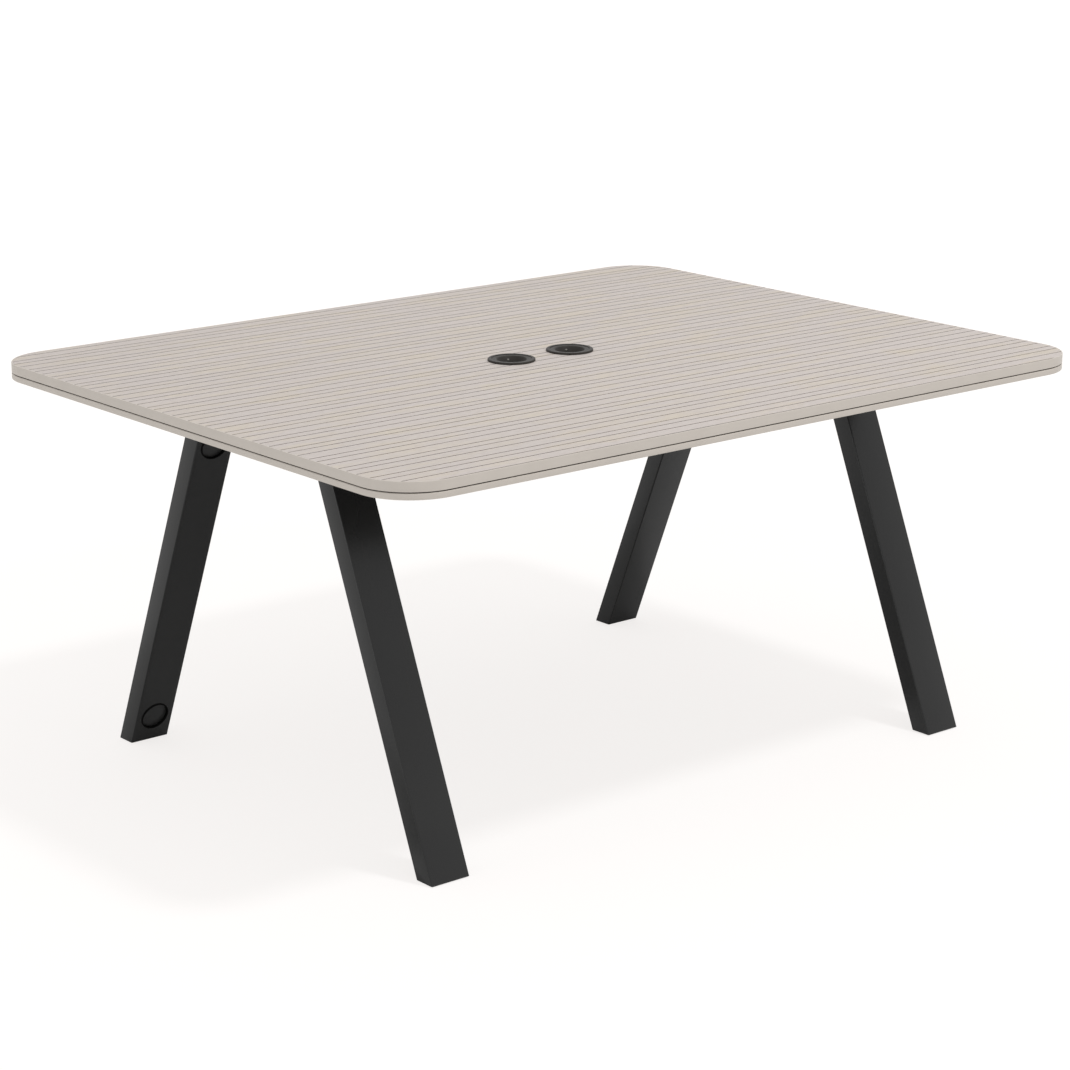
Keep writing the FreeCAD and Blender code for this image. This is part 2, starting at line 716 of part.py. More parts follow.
os.makedirs("parts", exist_ok=True)
for node, shape in all_pieces().items():
    if not shape.isValid():
        raise ValueError(f"{node} is not a valid shape")
    shape.exportStep(f"parts/{node}.step")
    print(node, len(shape.Solids), round(shape.Volume))
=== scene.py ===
from math import cos, hypot, pi, radians, tan

import bmesh
import bpy
from mathutils import Matrix, Vector


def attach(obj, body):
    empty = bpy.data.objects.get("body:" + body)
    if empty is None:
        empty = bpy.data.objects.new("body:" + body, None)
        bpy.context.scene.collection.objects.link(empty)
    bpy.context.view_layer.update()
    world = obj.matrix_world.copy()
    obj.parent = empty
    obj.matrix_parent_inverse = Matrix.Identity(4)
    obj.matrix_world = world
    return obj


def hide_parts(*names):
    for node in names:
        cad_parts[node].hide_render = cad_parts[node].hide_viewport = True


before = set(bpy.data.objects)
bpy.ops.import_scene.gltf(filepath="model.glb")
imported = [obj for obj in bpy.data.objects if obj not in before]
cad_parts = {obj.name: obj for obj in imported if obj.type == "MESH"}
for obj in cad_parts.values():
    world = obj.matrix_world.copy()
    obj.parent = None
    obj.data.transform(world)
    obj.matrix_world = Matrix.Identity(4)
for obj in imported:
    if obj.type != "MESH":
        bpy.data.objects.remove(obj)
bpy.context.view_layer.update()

# A double desk: a planked laminate top in two layers, two power ports in its middle, and four splayed
# legs of black tube. Shapes are drawn in millimetres and become metres when they are made into pieces.
to_metres = 0.001
# Two lengths within a hair are the same, a face looks one way when its normal has this share of that way,
# and an edge is sharp when its faces turn by this much.
hair, facing, sharp_turn = 0.01, 0.9, radians(40)

top_length, top_depth, top_corner = 1600, 1250, 100
desk_height, board_joint, underside = 740, 722, 710
groove_floor, groove_roof, groove_inset = 721, 723, 2
band_thickness, arris, groove_arris = 2, 1.2, 1.9
port_x, port_hole = 70, 40

# Joints between the planks run along the desk; three plank widths repeat from the front edge backwards.
# One more joint runs along the front edge, beside the edge band.
edge_joint, first_joint, joint_count = -621.9, -592.5, 46
plank_widths = (26.6, 21.2, 31.9)
joint_width, joint_depth = 2.0, 0.7

feet = {"front_left": (-1, -1), "front_right": (1, -1), "rear_left": (-1, 1), "rear_right": (1, 1)}
leg_x, foot_y, splay = 600, 468, radians(22.4)
tube_width, tube_depth, tube_wall, tube_corner = 80, 40, 2, 2.5
leg_bottom, leg_top = 3.5, 674
# A leg is sawn from a longer blank, which starts below the floor.
tube_overrun, tube_blank = 60, 860
weld_size, weld_ease = 4, 0.8
# Cable outlets lie at these distances up the tube, square to its wall.
outlet_hole = 28
outlet_stations = {"lower": 65.5, "upper": 684.61}
square_to_wall = Matrix.Rotation(radians(90), 4, "X")
glide_y = 466.763

# Power ports: radii from a port's own axis, heights from the floor.
flange_radius, flange_top = 44.2, 744
barrel_radius, barrel_bottom = 38.8, 682
barrel_thread = {"root": 38.7, "crest": 39.5, "pitch": 2.5, "low": 683, "turns": 9, "steps": 64}
housing_bore, ledge_radius, ledge_height = 36, 37.5, 738.5
face_radius, face_top, face_skirt, face_bottom = 37.3, 743.2, 35.8, 722.9
funnel_radius, funnel_top, well_radius, well_top = 28.5, 742.5, 20, 727
pin_radius, pin_top, pin_setback = 2.4, 741.4, 10
pin_head_radius, pin_head_bottom, pin_head_top = 4.5, 704.5, 706

# Cable outlets: radii from an outlet's own axis, heights out of the leg's wall.
lip_radius, lip_height = 28.6, 2.2
sleeve_radius, sleeve_bore, sleeve_end = 27.85, 26.85, -9
snap_radius, snap_front, snap_back = 28.6, -2.15, -3.65
shelf_bore, shelf_front, shelf_back = 24.85, -5.5, -7
cap_radius, cap_front, cap_back = 26.55, -2.8, -5.2
skirt_radius, skirt_bore, skirt_end = 24.55, 23.05, -9.2

# Levelling glides: radii from a stem's own axis, heights from the floor.
pad_radius, pad_top, pad_mouth = 15, 4.2, 4.3
socket_radius, socket_floor, socket_roof = 6.3, 1.2, 3.2
stem_radius, stem_top = 3.4, 27.5
stem_foot_radius, stem_foot_bottom, stem_foot_top = 6, 1.5, 2.9
stem_thread = {"root": 3.3, "crest": 4, "pitch": 1.25, "low": 4.5, "turns": 17, "steps": 32}


def node(tree, kind, inputs=(), **settings):
    """Add one node with its settings; each input gets a value or a link from another node.

    A Mix node for colours takes its share at input 0 and its colours at 6 and 7, and gives output 2.
    """
    added = tree.nodes.new(kind)
    for name, value in settings.items():
        setattr(added, name, value)
    for key, value in dict(inputs).items():
        if isinstance(value, bpy.types.Node):
            value = value.outputs[0]
        if isinstance(value, bpy.types.NodeSocket):
            tree.links.new(value, added.inputs[key])
        else:
            added.inputs[key].default_value = value
    return added


def linear(code):
    """An sRGB hex colour as linear red, green, blue and alpha."""
    shares = [int(code[i:i + 2], 16) / 255 for i in (1, 3, 5)]
    return [s / 12.92 if s <= 0.04045 else ((s + 0.055) / 1.055) ** 2.4 for s in shares] + [1]


def per_metre(millimetres):
    """The scale at which a pattern's marks are this many millimetres across."""
    return 1000 / millimetres


def start_finish(name):
    """An empty material, its node tree and the coordinates of the piece that wears it."""
    finish = bpy.data.materials.new(name)
    finish.use_nodes = True
    finish.node_tree.nodes.clear()
    place = node(finish.node_tree, "ShaderNodeTexCoord").outputs["Object"]
    return finish, finish.node_tree, place


def seen_white(tree):
    """One for the rays that see white, which are the camera's, mirrored and see-through ones, or zero."""
    path = node(tree, "ShaderNodeLightPath")
    seen = node(tree, "ShaderNodeMath",
                {0: path.outputs["Is Camera Ray"], 1: path.outputs["Is Glossy Ray"]}, operation="ADD")
    return node(tree, "ShaderNodeMath",
                {0: seen, 1: path.outputs["Is Transmission Ray"]}, operation="ADD", use_clamp=True)


def planked_laminate():
    """Melamine laminate with a bleached larch print, pressed on a soft matt plate.

    It gives the eye a warm pale grey, with cream and cool streaks along the planks, a fine grain and a
    low sheen.
    """
    finish, tree, place = start_finish("planked_laminate")
    # Streaks 28 mm wide and four times as long, over broad patches 150 mm wide.
    along = node(tree, "ShaderNodeMapping", {"Vector": place, "Scale": (1 / 4, 1, 1)})
    streak = node(tree, "ShaderNodeTexNoise",
                  {"Vector": along, "Scale": per_metre(28), "Detail": 4.0, "Roughness": 0.55})
    patch = node(tree, "ShaderNodeTexNoise",
                 {"Vector": along, "Scale": per_metre(150), "Detail": 2.0, "Roughness": 0.5})
    warm = node(tree, "ShaderNodeMapRange",
                {"Value": streak, "From Min": 0.45, "From Max": 0.7})
    tint = node(tree, "ShaderNodeMix",
                {0: warm, 6: linear("#cbc2bd"), 7: linear("#cfc4b5")}, data_type="RGBA")
    shade = node(tree, "ShaderNodeMapRange",
                 {"Value": patch, "From Min": 0.3, "From Max": 0.7, "To Min": 0.0, "To Max": 0.2})
    colour = node(tree, "ShaderNodeMix",
                  {0: shade, 6: tint.outputs[2], 7: linear("#beb6b0")}, data_type="RGBA")
    # Grain of the print, darker and duller, really about 0.3 mm wide and drawn at 1.1 mm so that it shows.
    pore_run = node(tree, "ShaderNodeMapping", {"Vector": place, "Scale": (1 / 14, 1, 1)})
    pore = node(tree, "ShaderNodeTexNoise",
                {"Vector": pore_run, "Scale": per_metre(1.1), "Detail": 2.0, "Roughness": 0.6})
    grain = node(tree, "ShaderNodeMapRange",
                 {"Value": pore, "From Min": 0.42, "From Max": 0.68, "To Min": 0.0, "To Max": 0.3})
    grained = node(tree, "ShaderNodeMix",
                   {0: grain, 6: colour.outputs[2], 7: linear("#9b9087")}, data_type="RGBA")
    sheen = node(tree, "ShaderNodeMapRange", {"Value": pore, "To Min": 0.46, "To Max": 0.58})
    relief = node(tree, "ShaderNodeBump", {"Height": pore, "Strength": 0.12, "Distance": 0.00008})
    shader = node(tree, "ShaderNodeBsdfPrincipled",
                  {"Base Color": grained.outputs[2], "Roughness": sheen, "Normal": relief, "IOR": 1.5,
                   "Specular IOR Level": 0.3})
    node(tree, "ShaderNodeOutputMaterial", {"Surface": shader})
    return finish


def shaded_joint_laminate():
    """The same laminate down in the joints and the shadow groove, dark brown as painted shade.

    It gives the eye thin brown lines that are a little uneven along their length.
    """
    finish, tree, place = start_finish("joint_laminate_painted_shade")
    along = node(tree, "ShaderNodeMapping", {"Vector": place, "Scale": (1 / 20, 1, 1)})
    uneven_noise = node(tree, "ShaderNodeTexNoise",
                {"Vector": along, "Scale": per_metre(8), "Detail": 3.0, "Roughness": 0.6})
    uneven_share = node(tree, "ShaderNodeMapRange", {"Value": uneven_noise, "From Min": 0.35, "From Max": 0.65})
    colour = node(tree, "ShaderNodeMix",
                  # Dark brown painted shade for the joints and the groove, uneven along their length.
                  {0: uneven_share, 6: linear("#33291f"), 7: linear("#5f5043")}, data_type="RGBA")
    shader = node(tree, "ShaderNodeBsdfPrincipled",
                  {"Base Color": colour.outputs[2], "Roughness": 0.85, "IOR": 1.5,
                   "Specular IOR Level": 0.15})
    node(tree, "ShaderNodeOutputMaterial", {"Surface": shader})
    return finish


def edge_banding():
    """ABS edging in the top's colour, extruded and scraped flush.

    It gives the eye one even warm grey with faint vertical chatter marks and a satin sheen.
    """
    finish, tree, place = start_finish("abs_edge_band")
    cloud = node(tree, "ShaderNodeTexNoise",
                 {"Vector": place, "Scale": per_metre(40), "Detail": 3.0, "Roughness": 0.5})
    colour = node(tree, "ShaderNodeMix",
                  {0: cloud, 6: linear("#c4bcb3"), 7: linear("#cbc3ba")}, data_type="RGBA")
    # Chatter marks of the scraper, really 0.5 mm apart, drawn 2 mm apart so that they show.
    upright = node(tree, "ShaderNodeMapping", {"Vector": place, "Scale": (1, 1, 1 / 12)})
    chatter = node(tree, "ShaderNodeTexNoise",
                   {"Vector": upright, "Scale": per_metre(2), "Detail": 1.0, "Roughness": 0.5})
    sheen = node(tree, "ShaderNodeMapRange", {"Value": chatter, "To Min": 0.38, "To Max": 0.5})
    relief = node(tree, "ShaderNodeBump", {"Height": chatter, "Strength": 0.1, "Distance": 0.00006})
    shader = node(tree, "ShaderNodeBsdfPrincipled",
                  {"Base Color": colour.outputs[2], "Roughness": sheen, "Normal": relief, "IOR": 1.54,
                   "Specular IOR Level": 0.3})
    node(tree, "ShaderNodeOutputMaterial", {"Surface": shader})
    return finish


def backing_laminate():
    """Backing laminate under the top, with fine fibres and a dull face; its dark warm grey is painted shade,
    so that the legs mirror a shaded underside.
    """
    finish, tree, place = start_finish("backing_laminate")
    fibre = node(tree, "ShaderNodeTexNoise",
                 {"Vector": place, "Scale": per_metre(2.5), "Detail": 5.0, "Roughness": 0.7})
    cloud = node(tree, "ShaderNodeTexNoise",
                 {"Vector": place, "Scale": per_metre(120), "Detail": 2.0, "Roughness": 0.5})
    # Dark warm grey: painted shade for the unlit underside of the top.
    base = node(tree, "ShaderNodeMix",
                {0: cloud, 6: linear("#4b4641"), 7: linear("#554f49")}, data_type="RGBA")
    fleck = node(tree, "ShaderNodeMapRange",
                 {"Value": fibre, "From Min": 0.55, "From Max": 0.75, "To Min": 0.0, "To Max": 0.35})
    colour = node(tree, "ShaderNodeMix",
                  {0: fleck, 6: base.outputs[2], 7: linear("#38342f")}, data_type="RGBA")
    sheen = node(tree, "ShaderNodeMapRange", {"Value": fibre, "To Min": 0.55, "To Max": 0.72})
    shader = node(tree, "ShaderNodeBsdfPrincipled",
                  {"Base Color": colour.outputs[2], "Roughness": sheen, "IOR": 1.5})
    node(tree, "ShaderNodeOutputMaterial", {"Surface": shader})
    return finish


def powder_coat():
    """Black polyester powder coat, baked on steel: satin, with the soft ripple of orange peel."""
    finish, tree, place = start_finish("black_powder_coat")
    # The ripple is really about 1 mm from crest to crest, drawn at 2.2 mm so that it shows.
    peel = node(tree, "ShaderNodeTexNoise",
                {"Vector": place, "Scale": per_metre(2.2), "Detail": 2.0, "Roughness": 0.5})
    cloud = node(tree, "ShaderNodeTexNoise",
                 {"Vector": place, "Scale": per_metre(90), "Detail": 2.0, "Roughness": 0.5})
    colour = node(tree, "ShaderNodeMix",
                  {0: cloud, 6: linear("#181818"), 7: linear("#1e1e1d")}, data_type="RGBA")
    sheen = node(tree, "ShaderNodeMapRange", {"Value": peel, "To Min": 0.17, "To Max": 0.27})
    relief = node(tree, "ShaderNodeBump", {"Height": peel, "Strength": 0.12, "Distance": 0.0001})
    shader = node(tree, "ShaderNodeBsdfPrincipled",
                  {"Base Color": colour.outputs[2], "Roughness": sheen, "Normal": relief, "IOR": 1.5,
                   "Specular IOR Level": 0.36})
    node(tree, "ShaderNodeOutputMaterial", {"Surface": shader})
    return finish


def moulded_plastic(name, dark, light, dull, gloss, grain):
    """Black plastic or rubber from a spark-eroded mould: an even fine grain that breaks up the highlights.

    dull is its roughness, gloss its specular level, and grain the drawn size of its pits in millimetres.
    """
    finish, tree, place = start_finish(name)
    # The mould's grain is really about 0.2 mm, drawn coarser so that it shows.
    pit = node(tree, "ShaderNodeTexVoronoi",
               {"Vector": place, "Scale": per_metre(grain), "Randomness": 1.0}, feature="SMOOTH_F1")
    flow = node(tree, "ShaderNodeTexNoise",
                {"Vector": place, "Scale": per_metre(14), "Detail": 2.0, "Roughness": 0.5})
    colour = node(tree, "ShaderNodeMix", {0: flow, 6: linear(dark), 7: linear(light)}, data_type="RGBA")
    sheen = node(tree, "ShaderNodeMapRange",
                 {"Value": pit, "To Min": dull - 0.06, "To Max": dull + 0.06})
    relief = node(tree, "ShaderNodeBump", {"Height": pit, "Strength": 0.15, "Distance": 0.00006})
    shader = node(tree, "ShaderNodeBsdfPrincipled",
                  {"Base Color": colour.outputs[2], "Roughness": sheen, "Normal": relief, "IOR": 1.49,
                   "Specular IOR Level": gloss})
    node(tree, "ShaderNodeOutputMaterial", {"Surface": shader})
    return finish


def plated_metal(name, dark, light, smooth, mark):
    """Plated or drawn metal: bright, with a faint clouding from the bath and fine drawn marks.

    smooth is its roughness, and mark the drawn width of its marks in millimetres.
    """
    finish, tree, place = start_finish(name)
    cloud = node(tree, "ShaderNodeTexNoise",
                 {"Vector": place, "Scale": per_metre(9), "Detail": 3.0, "Roughness": 0.5})
    # Drawn marks, really a few hundredths of a millimetre, drawn coarser so that they show.
    drawn = node(tree, "ShaderNodeMapping", {"Vector": place, "Scale": (1, 1, 1 / 10)})
    marks = node(tree, "ShaderNodeTexNoise",
                 {"Vector": drawn, "Scale": per_metre(mark), "Detail": 2.0, "Roughness": 0.6})
    colour = node(tree, "ShaderNodeMix", {0: cloud, 6: linear(dark), 7: linear(light)}, data_type="RGBA")
    sheen = node(tree, "ShaderNodeMapRange",
                 {"Value": marks, "To Min": smooth - 0.07, "To Max": smooth + 0.09})
    relief = node(tree, "ShaderNodeBump", {"Height": marks, "Strength": 0.08, "Distance": 0.00003})
    shader = node(tree, "ShaderNodeBsdfPrincipled",
                  {"Base Color": colour.outputs[2], "Roughness": sheen, "Normal": relief, "Metallic": 1.0})
    node(tree, "ShaderNodeOutputMaterial", {"Surface": shader})
    return finish


top_finish = planked_laminate()
joint_shade_finish = shaded_joint_laminate()
band_finish = edge_banding()
backing_finish = backing_laminate()
steel_finish = powder_coat()
port_finish = moulded_plastic("moulded_black_abs", "#393633", "#3e3b38", dull=0.45, gloss=0.09, grain=0.8)
cap_finish = moulded_plastic("moulded_black_polypropylene", "#262626", "#2c2c2b",
                             dull=0.42, gloss=0.34, grain=1.0)
# The collar is painted almost black, darker than black plastic: painted shade for the dark gap round the
# sunken cap.
collar_shade_finish = moulded_plastic("black_polyamide_painted_shade", "#0c0c0c", "#121211",
                                dull=0.7, gloss=0.06, grain=0.8)
rubber_finish = moulded_plastic("black_rubber", "#131312", "#1b1b1a", dull=0.82, gloss=0.1, grain=0.7)
nickel_finish = plated_metal("nickel_plated_brass", "#64625e", "#75726d", smooth=0.48, mark=0.4)
brass_finish = plated_metal("drawn_brass", "#b08d4a", "#c7a765", smooth=0.28, mark=0.4)
zinc_finish = plated_metal("zinc_plated_steel", "#a4a8ad", "#bcbdbb", smooth=0.34, mark=0.5)


def points_of(made):
    """The points among what an operator has made."""
    return [part for part in made["geom"] if isinstance(part, bmesh.types.BMVert)]


def flat_plate(length, depth, corner, corner_steps=20):
    """A flat sheet with round corners, centred on the origin."""
    sheet = bmesh.new()
    bmesh.ops.create_grid(sheet, x_segments=1, y_segments=1, size=0.5)
    bmesh.ops.scale(sheet, vec=(length, depth, 1), verts=sheet.verts[:])
    bmesh.ops.bevel(sheet, geom=sheet.verts[:], offset=corner, offset_type="OFFSET", affect="VERTICES",
                    segments=corner_steps, profile=0.5, material=-1)
    return sheet


def hollow_out(sheet, wall):
    """Leave only a rim of this width round a flat sheet."""
    middle = sheet.faces[:]
    bmesh.ops.inset_region(sheet, faces=middle, thickness=wall, use_even_offset=True, use_boundary=True)
    bmesh.ops.delete(sheet, geom=middle, context="FACES_ONLY")


def bore_through(shape, faces, centres, radius, normal, turn=Matrix()):
    """Refill flat faces with round holes left open; gives the rims of the holes."""
    outline = list(dict.fromkeys(edge for face in faces for edge in face.edges))
    bmesh.ops.delete(shape, geom=faces, context="FACES_ONLY")
    rims = []
    for centre in centres:
        circle = bmesh.ops.create_circle(shape, cap_ends=False, radius=radius, segments=96,
                                         matrix=Matrix.Translation(centre) @ turn)
        rims.append(list(dict.fromkeys(edge for point in circle["verts"] for edge in point.link_edges)))
    bmesh.ops.triangle_fill(shape, use_beauty=True, use_dissolve=False, normal=normal,
                            edges=outline + [edge for rim in rims for edge in rim])
    return rims


def raise_up(sheet, height):
    """Thicken a flat sheet straight up; gives the points of the raised face."""
    raised = points_of(bmesh.ops.extrude_face_region(sheet, geom=sheet.faces[:]))
    bmesh.ops.translate(sheet, vec=(0, 0, height), verts=raised)
    bmesh.ops.recalc_face_normals(sheet, faces=sheet.faces[:])
    return raised


def turned(outline, steps=96):
    """Turn an outline of (radius, height) points round the Z axis."""
    shape = bmesh.new()
    points = [shape.verts.new((radius, 0, height)) for radius, height in outline]
    pairs = list(zip(points, points[1:]))
    if outline[0][0] > 0:
        pairs.append((points[-1], points[0]))
    edges = [shape.edges.new(pair) for pair in pairs]
    bmesh.ops.spin(shape, geom=points + edges, cent=(0, 0, 0), axis=(0, 0, 1), angle=2 * pi,
                   steps=steps, use_merge=True)
    bmesh.ops.remove_doubles(shape, verts=shape.verts[:], dist=0.0005)
    bmesh.ops.recalc_face_normals(shape, faces=shape.faces[:])
    return shape


def round_edge(shape, radius, height, width, steps=3):
    """Round the circular edge at this radius and height of a turned shape."""
    rim = [edge for edge in shape.edges
           if all(abs(point.co.xy.length - radius) < hair and abs(point.co.z - height) < hair
                  for point in edge.verts)]
    bmesh.ops.bevel(shape, geom=rim, offset=width, offset_type="OFFSET", affect="EDGES",
                    segments=steps, profile=0.5, material=-1)


def wind_thread(shape, root, crest, pitch, low, turns, steps=36):
    """Wind a pointed ridge round the Z axis, from a closed three-cornered section."""
    flank = 0.45 * pitch
    section = [shape.verts.new((root, 0, low)), shape.verts.new((crest, 0, low + flank)),
               shape.verts.new((root, 0, low + 2 * flank))]
    edges = [shape.edges.new((section[i], section[i - 1])) for i in range(3)]
    first = set(shape.edges) - set(edges)
    bmesh.ops.spin(shape, geom=section + edges, cent=(0, 0, 0), axis=(0, 0, 1),
                   dvec=(0, 0, pitch / steps), angle=2 * pi * turns, steps=steps * turns)
    ends = [edge for edge in shape.edges if edge not in first and edge.is_boundary]
    bmesh.ops.holes_fill(shape, edges=ends, sides=3)
    bmesh.ops.recalc_face_normals(shape, faces=shape.faces[:])


def make_piece(name, shape, finishes, body, stands_for=(), place=Matrix(), crease=32, crisp=()):
    """Make a finished shape into a piece that rides on a body and stands for CAD nodes."""
    bmesh.ops.transform(shape, matrix=Matrix.Scale(to_metres, 4) @ place, verts=shape.verts[:])
    for face in shape.faces:
        face.smooth = True
    for edge in shape.edges:
        edge.smooth = edge.calc_face_angle(0) < radians(crease)
    for edge in crisp:
        edge.smooth = False
    mesh = bpy.data.meshes.new(name)
    shape.to_mesh(mesh)
    shape.free()
    for finish in finishes:
        mesh.materials.append(finish)
    piece = bpy.data.objects.new(name, mesh)
    bpy.context.scene.collection.objects.link(piece)
    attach(piece, body)
    if stands_for:
        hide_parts(*stands_for)
    return piece


def plank_joints():
    """Distances of the joints from the middle of the top, front to back."""
    places = [first_joint]
    while len(places) < joint_count:
        places.append(places[-1] + plank_widths[(len(places) - 1) % len(plank_widths)])
    return [edge_joint] + places


def within_plate(point, inset):
    """Whether a point lies inside the top's outline by at least this much."""
    corner = top_corner - inset
    past_x = max(abs(point.x) - (top_length / 2 - top_corner), 0)
    past_y = max(abs(point.y) - (top_depth / 2 - top_corner), 0)
    return hypot(past_x, past_y) < corner


def planked_top():
    """Upper board with its port holes, and a V-shaped joint cut between each two planks."""
    both_bands = 2 * band_thickness
    board = flat_plate(top_length - both_bands, top_depth - both_bands, top_corner - band_thickness)
    middle = board.faces[:]
    bmesh.ops.inset_region(board, faces=middle, thickness=groove_inset, use_even_offset=True,
                           use_boundary=True)
    bore_through(board, middle, [(-port_x, 0, 0), (port_x, 0, 0)], port_hole, (0, 0, 1))
    joints = plank_joints()
    for joint in joints:
        for offset in (-joint_width / 2, 0, joint_width / 2):
            bmesh.ops.bisect_plane(board, geom=board.verts[:] + board.edges[:] + board.faces[:],
                                   plane_co=(0, joint + offset, 0), plane_no=(0, 1, 0))
    surface = raise_up(board, desk_height - groove_roof)
    drops = {}
    for point in surface:
        away = min(abs(point.co.y - joint) for joint in joints)
        drops.setdefault(round(joint_depth * max(1 - 2 * away / joint_width, 0), 3), []).append(point)
    for drop, points in drops.items():
        bmesh.ops.translate(board, vec=(0, 0, -drop), verts=points)
    inset = band_thickness + groove_inset
    tongue = [face for face in board.faces if face.normal.z < -facing
              and within_plate(face.calc_center_median(), inset)]
    lowered = points_of(bmesh.ops.extrude_face_region(board, geom=tongue))
    bmesh.ops.translate(board, vec=(0, 0, board_joint - groove_roof), verts=lowered)
    bmesh.ops.delete(board, geom=tongue, context="FACES")
    bmesh.ops.recalc_face_normals(board, faces=board.faces[:])
    # Faces that don't look up, down in the joints and the shadow groove, wear the dark joint laminate as
    # painted shade.
    for face in board.faces:
        face.material_index = 0 if face.normal.z > facing else 1
    make_piece("planked_top", board, [top_finish, joint_shade_finish], "desk",
               ["upper_board"], Matrix.Translation((0, 0, groove_roof)), crease=15)


def edge_band(name, low, high, arrises):
    """Edging round one layer of the top, with its outer edges eased at the given levels."""
    band = flat_plate(top_length, top_depth, top_corner)
    hollow_out(band, band_thickness)
    raise_up(band, high - low)
    for level, width in arrises.items():
        outside = {face for face in band.faces
                   if abs(face.normal.z) < 1 - facing and face.normal.dot(face.calc_center_median()) > 0}
        edges = [edge for edge in band.edges if outside & set(edge.link_faces)
                 and all(abs(point.co.z + low - level) < hair for point in edge.verts)]
        bmesh.ops.bevel(band, geom=edges, offset=width, offset_type="OFFSET", affect="EDGES",
                        segments=4, profile=0.5, material=-1)
    make_piece(f"{name}_edging", band, [band_finish], "desk", [f"{name}_edge_band"],
               Matrix.Translation((0, 0, low)))


def leg_frame(side_x, side_y):
    """A leg's own frame: Z along the tube, from the foot's middle on the floor."""
    lean = Matrix.Rotation(side_y * splay, 4, "X")
    return Matrix.Translation((side_x * leg_x, side_y * foot_y, 0)) @ lean


def saw_level(tube, lean, level, upward):
    """Saw a leaning tube off level with the floor and close its cut end."""
    upright = lean.inverted()
    cut = bmesh.ops.bisect_plane(tube, geom=tube.verts[:] + tube.edges[:] + tube.faces[:],
                                 clear_outer=True, plane_co=upright @ Vector((0, 0, level)),
                                 plane_no=upright.to_3x3() @ Vector((0, 0, upward)))
    rims = [part for part in cut["geom_cut"] if isinstance(part, bmesh.types.BMEdge)]
    bmesh.ops.bridge_loops(tube, edges=rims)


def leg_tube(foot):
    """Rectangular tube, sawn level at the floor and under the top; one leg has two cable holes."""
    lean = leg_frame(*feet[foot])
    tube = flat_plate(tube_width, tube_depth, tube_corner, corner_steps=6)
    hollow_out(tube, tube_wall)
    bmesh.ops.translate(tube, vec=(0, 0, -tube_overrun), verts=tube.verts[:])
    raise_up(tube, tube_blank)
    saw_level(tube, lean, leg_bottom, -1)
    saw_level(tube, lean, leg_top, 1)
    if foot == "rear_left":
        rims = []
        for depth in (tube_depth / 2, tube_depth / 2 - tube_wall):
            wall = [face for face in tube.faces if abs(face.normal.y) > facing
                    and abs(face.calc_center_median().y + depth) < hair]
            centres = [(0, -depth, station) for station in outlet_stations.values()]
            rims += bore_through(tube, wall, centres, outlet_hole, (0, -1, 0), square_to_wall)
        for outer, inner in zip(rims[:2], rims[2:]):
            bmesh.ops.bridge_loops(tube, edges=outer + inner)
    bmesh.ops.recalc_face_normals(tube, faces=tube.faces[:])
    make_piece(f"leg_tube_{foot}", tube, [steel_finish], "desk", [f"leg_{foot}"], lean)


def weld_bead(foot):
    """Fillet weld all round the head of a leg, under its plate."""
    side_x, side_y = feet[foot]
    head_depth = tube_depth / cos(splay)
    bead = flat_plate(tube_width + 2 * weld_size, head_depth + 2 * weld_size, tube_corner + weld_size,
                      corner_steps=6)
    hollow_out(bead, weld_size + tube_wall / 2)
    toe = raise_up(bead, -weld_size)
    bmesh.ops.scale(bead, verts=toe, vec=(tube_width / (tube_width + 2 * weld_size),
                                          head_depth / (head_depth + 2 * weld_size), 1))
    bmesh.ops.translate(bead, verts=toe, vec=(0, side_y * weld_size * tan(splay), 0))
    bmesh.ops.bevel(bead, geom=[edge for edge in bead.edges if edge.calc_face_angle(0) > sharp_turn],
                    offset=weld_ease, offset_type="OFFSET", affect="EDGES", segments=2, profile=0.5,
                    material=-1)
    head_y = side_y * (foot_y - leg_top * tan(splay))
    make_piece(f"leg_weld_{foot}", bead, [steel_finish], "desk",
               place=Matrix.Translation((side_x * leg_x, head_y, leg_top)))


def eased_copy(name, finish, width):
    """Copy a CAD node, join its loose triangles and ease the sharp edges a maker would break."""
    shape = bmesh.new()
    shape.from_mesh(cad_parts[name].data)
    bmesh.ops.scale(shape, vec=[1 / to_metres] * 3, verts=shape.verts[:])
    bmesh.ops.remove_doubles(shape, verts=shape.verts[:], dist=0.002)
    bmesh.ops.dissolve_limit(shape, angle_limit=radians(0.5), verts=shape.verts[:], edges=shape.edges[:])
    sharp = [edge for edge in shape.edges if edge.is_manifold and edge.calc_face_angle(0) > sharp_turn]
    eased = set(bmesh.ops.bevel(shape, geom=sharp, offset=width, offset_type="OFFSET", affect="EDGES",
                                segments=2, profile=0.5, clamp_overlap=True, material=-1)["faces"])
    borders = [edge for edge in shape.edges
               if 0 < len(eased & set(edge.link_faces)) < len(edge.link_faces)]
    make_piece(f"{name}_eased", shape, [finish], "desk", [name], crisp=borders)


